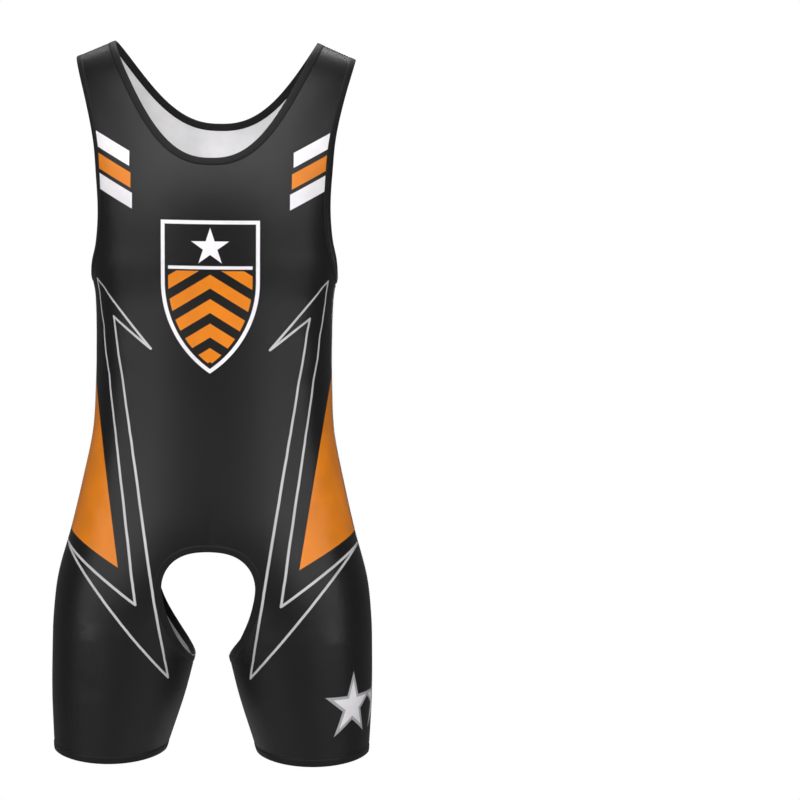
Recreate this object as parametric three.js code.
// A sleeveless wrestling singlet, filled out as if worn, with nobody in it.
// Millimetres, +Z up, the front faces -Y. The origin lies between the two straps, where they rest on the shoulders.
// Front and back are one piece of knit each, from shoulder to leg hem, and bindings finish every open edge.
import * as THREE from "three";
import { mergeVertices } from "three/addons/utils/BufferGeometryUtils.js";

// Thickness of the knit, how far bindings stand proud of it, the gap between sewn pieces, the wider gap where the
// lower opening's binding turns sharply into the inseam, and the bindings' rounded outer edge
const KNIT = 1.6;
const BINDING_PROUD = 0.5;
const SEAM_GAP = 0.3;
const INSEAM_GAP = 0.6;
const EDGE_ROUNDING = 0.8;

// Finished widths of the bindings and of the leg hem
const NECK_BAND = 9.5;
const ARM_BAND = 7.5;
const OPENING_BAND = 9;
const HEM_BAND = 9.5;

// Shoulder: the straps slope down outwards, level out across the middle, and roll over a rounded crest
const STRAP_MIDDLE = 147;
const STRAP_SLOPE = 0.43;
const SLOPE_FADES_AT = 150;
const MIDDLE_EASE = 60;
const CREST_HEIGHT = 175;
const CREST_RUN = 100;

// Neckline: half its width at the shoulder, how deep it dips in front and behind, and how it curves
const NECK_HALF = 123.6;
const NECK_DIP = { front: 127.5, back: 106.5 };
const NECK_CURVE = 2.4;

// Armhole: the angle from the side seam that it reaches, and the underarm's level
const ARMHOLE_ANGLE = THREE.MathUtils.degToRad(34);
const UNDERARM = 278;
const ARMHOLE_CURVE = 4;

// Lower opening: top of its arch, half its greatest width, height of its round part, how full its shoulders are
// (less than 1 is fuller), and how it tapers to the inseam
const OPENING = {
  front: { top: 607, half: 57.3, round: 45, shoulder: 0.75, taper: 1.6 },
  back: { top: 577, half: 79, round: 66, shoulder: 0.9, taper: 2.2 },
};
// Share of the arch's curve, from its top, that is the round part
const ROUND_SHARE = 0.5;
const INSEAM_TOP = 750;
const HEM = 869;
const HEM_DIP = 7;

// Level on the side seam where the row of knit from the top of the arch arrives, and the one from the inseam's top
const HIP_ON_SEAM = 500;
const THIGH_ON_SEAM = 700;

// Sections of the filled garment. Level is the drop below the shoulder; side is half the width at the side seams;
// split goes from 0, one trunk, to 1, two legs; inner is where a leg starts, from the middle; front and back are
// depths from the side seam's plane; square fills the corners out.
const SECTIONS = [
  { level: 0, side: 199, split: 0, inner: 0, front: 104, back: 102, square: 0.12 },
  { level: 60, side: 181.5, split: 0, inner: 0, front: 105, back: 103, square: 0.12 },
  { level: 110, side: 169, split: 0, inner: 0, front: 107, back: 104, square: 0.12 },
  { level: 150, side: 163, split: 0, inner: 0, front: 109, back: 105, square: 0.12 },
  { level: 195, side: 156.5, split: 0, inner: 0, front: 110, back: 105, square: 0.12 },
  { level: 235, side: 153.7, split: 0, inner: 0, front: 106, back: 101, square: 0.12 },
  { level: 258, side: 154.2, split: 0, inner: 0, front: 103, back: 98.5, square: 0.12 },
  { level: 278, side: 151.3, split: 0, inner: 0, front: 100, back: 96, square: 0.12 },
  { level: 300, side: 146.7, split: 0, inner: 0, front: 98, back: 93, square: 0.12 },
  { level: 355, side: 145, split: 0, inner: 0, front: 96, back: 88, square: 0.12 },
  { level: 415, side: 145.7, split: 0, inner: 0, front: 95, back: 86, square: 0.12 },
  { level: 470, side: 149, split: 0, inner: 0, front: 96, back: 90, square: 0.12 },
  { level: 530, side: 161, split: 0.06, inner: 0, front: 99, back: 99, square: 0.11 },
  { level: 590, side: 175, split: 0.36, inner: 0, front: 102, back: 111, square: 0.09 },
  { level: 650, side: 191.2, split: 0.72, inner: 0, front: 101, back: 117, square: 0.07 },
  { level: 700, side: 197, split: 0.93, inner: 5, front: 97, back: 112, square: 0.05 },
  { level: 744, side: 198.4, split: 1, inner: 19.4, front: 92, back: 101, square: 0.04 },
  { level: 800, side: 198.6, split: 1, inner: 34.1, front: 86, back: 89, square: 0.04 },
  { level: 860, side: 196, split: 1, inner: 53.5, front: 78, back: 79, square: 0.04 },
  { level: 900, side: 194, split: 1, inner: 66, front: 74, back: 76, square: 0.04 },
];

// Rows of knit beside the neckline, from there to the underarm, down the trunk, beside the arch and in the leg,
// and columns of knit in each half of a panel
const NECK_ROWS = 14;
const UNDERARM_ROWS = 4;
const TRUNK_ROWS = 8;
const ARCH_ROWS = 14;
const LEG_ROWS = 3;
const COLUMNS = 10;

// How steeply a row of knit leaves the corner at the bottom of the neckline, the underarm and the top of the arch,
// and over how many rows from there the lean fades: up the neckline, down the middle, and beside the underarm
const CORNER_LEAN = THREE.MathUtils.degToRad(45);
const NECK_LEAN_ROWS = 5;
const MIDDLE_LEAN_ROWS = 5;
const UNDERARM_LEAN_ROWS = 8;

// How finely a curve is measured to space its places evenly, and how often an angle is halved to find a width
const CURVE_STEPS = 240;
const HALVINGS = 40;

const { lerp, clamp, smoothstep } = THREE.MathUtils;

// One column of the table at a level, on a smooth curve through the rows.
function measure(column, level) {
  const last = SECTIONS.length - 1;
  let i = SECTIONS.findIndex((row) => row.level > level) - 1;
  if (i < 0) i = level < 0 ? 0 : last - 1;
  const at = (k) => SECTIONS[clamp(k, 0, last)];
  const slope = (k) => {
    const [before, after] = [at(k - 1), at(k + 1)];
    return (after[column] - before[column]) / (after.level - before.level);
  };
  const span = at(i + 1).level - at(i).level;
  const t = (level - at(i).level) / span;
  const start = at(i)[column];
  const end = at(i + 1)[column];
  const bend = 2 * (start - end) + span * (slope(i) + slope(i + 1));
  const rise = 3 * (end - start) - span * (2 * slope(i) + slope(i + 1));
  return start + t * (span * slope(i) + t * (rise + t * bend));
}

// The section at a level: half its width, the middle of a leg's lobe, the inner end and the corners' fullness.
function sectionAt(level) {
  const side = measure("side", level);
  const inner = Math.max(0, measure("inner", level));
  const split = clamp(measure("split", level), 0, 1);
  const lobe = (split * (side + inner)) / 2;
  return { side, inner, lobe, reach: side - lobe, square: measure("square", level) };
}

const across = (s, angle) =>
  s.lobe + s.reach * Math.cos(angle) * (1 + s.square * Math.sin(angle) ** 2);

// How far out x counts for the slope of the shoulders: as it is, but rounded off near the middle.
const outAlong = (x) => (x < MIDDLE_EASE ? (x * x + MIDDLE_EASE ** 2) / (2 * MIDDLE_EASE) : x);

// The angle round a section, 0 at the side seam, where the knit is x from the middle.
function angleAt(x, level) {
  const s = sectionAt(level);
  let low = 0;
  let high = Math.PI;
  for (let i = 0; i < HALVINGS; i++) {
    const middle = (low + high) / 2;
    if (across(s, middle) > x) low = middle;
    else high = middle;
  }
  return (low + high) / 2;
}

// The run is the way down the knit from the crest of the shoulder, which is flat there; the level is the drop.
const levelOf = (run) => (run * run) / (run + CREST_RUN);
const runOf = (level) => (level + Math.sqrt(level * level + 4 * level * CREST_RUN)) / 2;

// A point on the outside of the knit, on the wearer's left half.
function knitPoint(face, angle, run) {
  const level = levelOf(run);
  const s = sectionAt(level);
  const x = across(s, angle);
  const over = clamp(1 - level / CREST_HEIGHT, 0, 1);
  const crest = Math.sqrt(1 - over * over);
  const deep = Math.sin(angle) * (1 + s.square * Math.cos(angle) ** 2);
  const y = measure(face, level) * crest * deep;
  const slope = STRAP_SLOPE * (1 - smoothstep(level, 0, SLOPE_FADES_AT));
  const dip = HEM_DIP * smoothstep(level, INSEAM_TOP, HEM) * Math.sin(angle) ** 2;
  const z = -level + slope * (STRAP_MIDDLE - outAlong(x)) - dip;
  return new THREE.Vector3(x, face === "front" ? -y : y, z);
}

// The two directions along the knit at a point, and its outward normal.
function knitFrame(face, angle, run) {
  const step = 1e-3;
  const point = knitPoint(face, angle, run);
  const round = knitPoint(face, angle + step, run).sub(knitPoint(face, angle - step, run));
  round.divideScalar(2 * step);
  const above = Math.max(0, run - step);
  const down = knitPoint(face, angle, run + step).sub(knitPoint(face, angle, above));
  down.divideScalar(run + step - above);
  const normal = new THREE.Vector3().crossVectors(round, down).normalize();
  if (face === "back") normal.negate();
  return { point, round, down, normal };
}

// A place on the knit: its angle and run, its point and its normal, which is square to the seams that it lies on.
function place(face, angle, run, seam = {}) {
  const { point, normal } = knitFrame(face, angle, run);
  if (seam.middle) {
    point.x = 0;
    normal.x = 0;
  }
  if (seam.sewn) normal.y = 0;
  return { face, angle, run, seam, point, normal: normal.normalize() };
}

// The place that lies a distance from an edge, square to it, on the knit's side of the edge.
function movedIn(edge, along, distance) {
  const { round, down, normal } = knitFrame(edge.face, edge.angle, edge.run);
  const into = new THREE.Vector3().crossVectors(along, normal).normalize();
  into.multiplyScalar(distance);
  const rr = round.dot(round);
  const rd = round.dot(down);
  const dd = down.dot(down);
  const det = rr * dd - rd * rd;
  const turn = (into.dot(round) * dd - into.dot(down) * rd) / det;
  const drop = (into.dot(down) * rr - into.dot(round) * rd) / det;
  const run = edge.seam.crest ? 0 : edge.run + drop;
  let angle = edge.angle + turn;
  if (edge.seam.middle) angle = angleAt(0, levelOf(run));
  if (edge.seam.side) angle = 0;
  if (edge.seam.inseam) angle = Math.PI;
  return place(edge.face, angle, run, edge.seam);
}

// A number of steps of equal length along a curve of the knit, whose own step goes from 0 to 1.
function evenly(count, at) {
  const points = Array.from({ length: CURVE_STEPS + 1 }, (_, i) => at(i / CURVE_STEPS).point);
  const lengths = [0];
  for (let i = 1; i <= CURVE_STEPS; i++) lengths.push(lengths[i - 1] + points[i].distanceTo(points[i - 1]));
  return Array.from({ length: count + 1 }, (_, k) => {
    if (k === 0 || k === count) return at(k / count);
    const wanted = (lengths[CURVE_STEPS] * k) / count;
    const i = lengths.findIndex((length) => length >= wanted);
    return at((i - (lengths[i] - wanted) / (lengths[i] - lengths[i - 1])) / CURVE_STEPS);
  });
}

// The edges of one face, from the bottom of the neckline or armhole up to the crest
const quarter = Math.PI / 2;

function neckEdge(face) {
  return evenly(NECK_ROWS, (t) => {
    const x = NECK_HALF * Math.sin(t * quarter);
    const crest = t === 1;
    const middle = t === 0;
    const level = crest ? 0 : NECK_DIP[face] * (1 - (x / NECK_HALF) ** NECK_CURVE);
    return place(face, middle ? quarter : angleAt(x, level), runOf(level), { middle, crest, sewn: crest });
  });
}

function armEdge(face) {
  return evenly(UNDERARM_ROWS + NECK_ROWS, (t) => {
    const share = (1 + Math.cos(t * Math.PI)) / 2;
    const crest = t === 1;
    const side = t === 0;
    const level = crest ? 0 : UNDERARM * share;
    const angle = side ? 0 : ARMHOLE_ANGLE * Math.sqrt(1 - share ** ARMHOLE_CURVE);
    return place(face, angle, runOf(level), { side, crest, sewn: side || crest });
  });
}

// The edge of the lower opening, from the top of its arch to the top of the inseam.
function openingEdge(face) {
  const { top, half, round, shoulder, taper } = OPENING[face];
  const inner = sectionAt(INSEAM_TOP).inner;
  return evenly(ARCH_ROWS, (t) => {
    const turn = Math.min(1, t / ROUND_SHARE) * quarter;
    const low = Math.sin(Math.max(0, (t - ROUND_SHARE) / (1 - ROUND_SHARE)) * quarter);
    const level = low > 0 ? lerp(top + round, INSEAM_TOP, low) : top + round * (1 - Math.cos(turn));
    const x = low > 0 ? lerp(half, inner, low ** taper) : half * Math.sin(turn) ** shoulder;
    const middle = t === 0;
    const inseam = t === 1;
    const angle = inseam ? Math.PI : angleAt(x, level);
    return place(face, angle, runOf(level), { middle, inseam, sewn: inseam });
  });
}

// The direction in which an edge runs at each of its places, square to the seams at its ends.
function directions(edge) {
  return edge.map(({ point, seam }, k) => {
    const before = edge[Math.max(0, k - 1)].point;
    const after = edge[Math.min(edge.length - 1, k + 1)].point;
    const along = new THREE.Vector3().subVectors(after, before);
    if (seam.middle) return along.set(along.x, 0, 0).normalize();
    if (seam.sewn) return along.set(0, along.y, 0).normalize();
    return along.normalize();
  });
}

// How far from its binding the knit ends, at one place of an edge.
const gapAt = (edge, k) => ((edge[k + 1] ?? edge[k]).seam.inseam ? INSEAM_GAP : SEAM_GAP);

// The places where the knit ends under a binding. Towards says which side of the edge's direction the knit is on.
function cutEdge(edge, band, towards) {
  const along = directions(edge);
  return edge.map((at, k) =>
    movedIn(at, along[k].multiplyScalar(towards), band + gapAt(edge, k)),
  );
}

// Both ends of every row of knit in one half of a panel, from the crest of the shoulder down to the hem. A row's
// lean is how steeply it drops as it goes into the knit from that end.
function panelRows(face) {
  const sign = face === "front" ? 1 : -1;
  const neck = cutEdge(neckEdge(face), NECK_BAND, sign);
  const arm = cutEdge(armEdge(face), ARM_BAND, -sign);
  const arch = cutEdge(openingEdge(face), OPENING_BAND, -sign);
  const hem = HEM - HEM_BAND - SEAM_GAP;
  const onSeam = (level) => place(face, 0, runOf(level), { side: true, sewn: true });
  const onMiddle = (run) => place(face, angleAt(0, levelOf(run)), run, { middle: true });
  const onInseam = (level) => place(face, Math.PI, runOf(level), { inseam: true, sewn: true });
  const fades = (rows, over) => CORNER_LEAN * clamp(1 - rows / over, 0, 1);
  const rows = [];
  const row = (inner, outer, innerLean, outerLean) => rows.push({ inner, outer, innerLean, outerLean });
  for (let k = NECK_ROWS; k >= 0; k--) {
    const neckLean = CORNER_LEAN - fades(NECK_ROWS - k, NECK_LEAN_ROWS);
    row(neck[k], arm[k + UNDERARM_ROWS], neckLean, fades(k + UNDERARM_ROWS, UNDERARM_LEAN_ROWS));
  }
  const middleRows = UNDERARM_ROWS + TRUNK_ROWS;
  for (let k = 1; k < middleRows; k++) {
    const inner = onMiddle(lerp(neck[0].run, arch[0].run, k / middleRows));
    const below = (k - UNDERARM_ROWS) / TRUNK_ROWS;
    const outer = below <= 0 ? arm[UNDERARM_ROWS - k] : onSeam(lerp(levelOf(arm[0].run), HIP_ON_SEAM, below));
    const middleLean = fades(k, MIDDLE_LEAN_ROWS) - fades(middleRows - k, MIDDLE_LEAN_ROWS);
    row(inner, outer, middleLean, fades(Math.abs(UNDERARM_ROWS - k), UNDERARM_LEAN_ROWS));
  }
  for (let k = 0; k <= ARCH_ROWS; k++) {
    row(arch[k], onSeam(lerp(HIP_ON_SEAM, THIGH_ON_SEAM, k / ARCH_ROWS)), -fades(k, ARCH_ROWS), 0);
  }
  const inseam = levelOf(arch[ARCH_ROWS].run);
  for (let k = 1; k <= LEG_ROWS; k++) {
    const t = k / LEG_ROWS;
    row(onInseam(lerp(inseam, hem, t)), onSeam(lerp(THIGH_ON_SEAM, hem, t)), 0, 0);
  }
  return rows;
}

// The places of one row, from its inner end to its outer one, on a curve that leaves both ends at their lean.
function rowPlaces(face, { inner, outer, innerLean, outerLean }) {
  const length = inner.point.distanceTo(outer.point);
  const leaving = (at, lean, travel) => {
    const { round, down } = knitFrame(face, at.angle, at.run);
    const drop = at.seam.crest ? 0 : (length * Math.sin(lean)) / down.length();
    return { turn: (-length * Math.cos(lean)) / round.length(), drop: drop * travel };
  };
  const start = leaving(inner, innerLean, 1);
  const end = leaving(outer, outerLean, -1);
  const curve = (a, b, from, to, t) =>
    a * (1 + 2 * t) * (1 - t) ** 2 + b * t * t * (3 - 2 * t) + from * t * (1 - t) ** 2 + to * t * t * (t - 1);
  return Array.from({ length: COLUMNS + 1 }, (_, c) => {
    if (c === 0) return inner;
    if (c === COLUMNS) return outer;
    const t = c / COLUMNS;
    const angle = curve(inner.angle, outer.angle, start.turn, end.turn, t);
    const run = curve(inner.run, outer.run, start.drop, end.drop, t);
    return place(face, angle, run, { sewn: inner.seam.crest });
  });
}

// The two triangles of a four-sided face, cut along its shorter diagonal, so that faces across a seam are cut alike.
function cutInTwo(corners, [a, b, c, d]) {
  const cuts = corners[a].distanceTo(corners[c]) < corners[b].distanceTo(corners[d]);
  return cuts ? [a, b, c, a, c, d] : [a, b, d, b, c, d];
}

// A closed solid from an open sheet of four-sided faces: the sheet, a copy moved in by the knit's thickness,
// and a wall along each edge that only one face has.
function thickened(outside, inside, faces) {
  const corners = [...outside, ...inside];
  const shift = outside.length;
  const triangles = [];
  const open = new Map();
  for (const [a, b, c, d] of faces) {
    const pair = cutInTwo(outside, [a, b, c, d]);
    triangles.push(...pair, ...pair.map((corner) => corner + shift).reverse());
    for (const [from, to] of [[a, b], [b, c], [c, d], [d, a]]) {
      if (!open.delete(`${to},${from}`)) open.set(`${from},${to}`, [from, to]);
    }
  }
  for (const [from, to] of open.values()) {
    triangles.push(...cutInTwo(corners, [to, from, from + shift, to + shift]));
  }
  return solidOf(corners, triangles);
}

function solidOf(corners, triangles) {
  const geometry = new THREE.BufferGeometry();
  geometry.setAttribute("position", new THREE.Float32BufferAttribute(corners.flatMap((p) => p.toArray()), 3));
  geometry.setIndex(triangles);
  const merged = mergeVertices(geometry, 1e-4).toNonIndexed();
  merged.computeVertexNormals();
  return merged;
}

const mirrored = (p) => new THREE.Vector3(-p.x, p.y, p.z);

// A whole panel: both halves share the corners on the middle line, and the seam gap is taken off along Y.
function panel(face) {
  const rows = panelRows(face).map((ends) => rowPlaces(face, ends));
  const off = new THREE.Vector3(0, (face === "front" ? -1 : 1) * (SEAM_GAP / 2), 0);
  const outside = [];
  const inside = [];
  const add = (at, flip) => {
    const outer = at.point.clone().add(off);
    const inner = outer.clone().addScaledVector(at.normal, -KNIT);
    outside.push(flip ? mirrored(outer) : outer);
    inside.push(flip ? mirrored(inner) : inner);
    return outside.length - 1;
  };
  const left = rows.map((row) => row.map((at) => add(at, false)));
  const right = rows.map((row, r) =>
    row.map((at, c) => (c === 0 && at.seam.middle ? left[r][0] : add(at, true))),
  );
  const faces = [];
  const halves = face === "front" ? [[left, false], [right, true]] : [[left, true], [right, false]];
  for (const [half, flip] of halves) {
    for (let r = 0; r + 1 < rows.length; r++) {
      for (let c = 0; c < COLUMNS; c++) {
        const quad = [half[r][c], half[r + 1][c], half[r + 1][c + 1], half[r][c + 1]];
        faces.push(flip ? quad.reverse() : quad);
      }
    }
  }
  return thickened(outside, inside, faces);
}

// A binding's cross-section, folded over the edge: across is the way in from the finished edge, out is off the knit.
function bandSection(width) {
  const outer = BINDING_PROUD;
  const inner = -KNIT - BINDING_PROUD;
  return [
    { across: 0, out: outer - EDGE_ROUNDING },
    { across: EDGE_ROUNDING, out: outer },
    { across: width, out: outer },
    { across: width, out: inner },
    { across: EDGE_ROUNDING, out: inner },
    { across: 0, out: inner + EDGE_ROUNDING },
  ];
}

// The corners of a binding at one place along its edge, between the finished edge and the edge of the knit.
function bandCorners(edge, cut, width, gap) {
  const full = width + gap;
  return bandSection(width).map(({ across: way, out }) => {
    const corner = new THREE.Vector3().lerpVectors(edge.point, cut.point, way / full);
    const normal = new THREE.Vector3().lerpVectors(edge.normal, cut.normal, way / full);
    return corner.addScaledVector(normal.normalize(), out);
  });
}

// A closed loop of binding through its sections.
function loop(sections) {
  const sides = sections[0].length;
  const corners = sections.flat();
  const triangles = [];
  sections.forEach((_, k) => {
    const next = (k + 1) % sections.length;
    for (let i = 0; i < sides; i++) {
      const j = (i + 1) % sides;
      const face = [k * sides + i, k * sides + j, next * sides + j, next * sides + i];
      triangles.push(...cutInTwo(corners, face));
    }
  });
  const geometry = solidOf(corners, triangles);
  return volume(geometry) < 0 ? solidOf(corners, triangles.reverse()) : geometry;
}

function volume(geometry) {
  const at = geometry.getAttribute("position");
  const [a, b, c] = [new THREE.Vector3(), new THREE.Vector3(), new THREE.Vector3()];
  let sum = 0;
  for (let i = 0; i < at.count; i += 3) {
    a.fromBufferAttribute(at, i);
    b.fromBufferAttribute(at, i + 1);
    c.fromBufferAttribute(at, i + 2);
    sum += a.dot(b.cross(c)) / 6;
  }
  return sum;
}

// The sections of a binding along one face's edge.
function bandAlong(edge, band, towards) {
  const cut = cutEdge(edge, band, towards);
  return edge.map((at, k) => bandCorners(at, cut[k], band, gapAt(edge, k)));
}

const flipped = (sections) => sections.map((section) => section.map(mirrored));
const inner = (sections) => sections.slice(1, -1);

// Round the neck: up the left of the front, down the left of the back, and the mirror of both.
function neckBinding() {
  const front = bandAlong(neckEdge("front"), NECK_BAND, 1);
  const back = bandAlong(neckEdge("back"), NECK_BAND, -1).reverse();
  const left = [...front, ...back.slice(1)];
  return loop([...left, ...inner(flipped(left)).reverse()]);
}

function armBinding(onRight) {
  const front = bandAlong(armEdge("front"), ARM_BAND, -1);
  const back = bandAlong(armEdge("back"), ARM_BAND, 1).reverse();
  const ring = [...front, ...inner(back)];
  return loop(onRight ? flipped(ring) : ring);
}

function openingBinding() {
  const front = bandAlong(openingEdge("front"), OPENING_BAND, -1);
  const back = bandAlong(openingEdge("back"), OPENING_BAND, 1).reverse();
  const left = [...front, ...back.slice(1)];
  return loop([...left, ...inner(flipped(left)).reverse()]);
}

function legHem(onRight) {
  const around = (face) =>
    rowPlaces(face, panelRows(face).at(-1)).map((cut) => {
      const edge = place(face, cut.angle, runOf(HEM), cut.seam);
      return bandCorners(edge, cut, HEM_BAND, SEAM_GAP);
    });
  const ring = [...around("front"), ...inner(around("back").reverse())];
  return loop(onRight ? flipped(ring) : ring);
}

const blackKnit = new THREE.MeshStandardMaterial({ color: 0x1c1b1d, roughness: 0.55, metalness: 0 });
const blackBinding = new THREE.MeshStandardMaterial({ color: 0x0c0c0d, roughness: 0.7, metalness: 0 });

const singlet = new THREE.Group();
function sew(name, geometry, material) {
  const mesh = new THREE.Mesh(geometry, material);
  mesh.name = name;
  singlet.add(mesh);
}

sew("front_panel", panel("front"), blackKnit);
sew("back_panel", panel("back"), blackKnit);
sew("neck_binding", neckBinding(), blackBinding);
sew("armhole_binding_left", armBinding(false), blackBinding);
sew("armhole_binding_right", armBinding(true), blackBinding);
sew("opening_binding", openingBinding(), blackBinding);
sew("leg_hem_left", legHem(false), blackBinding);
sew("leg_hem_right", legHem(true), blackBinding);

export default singlet;
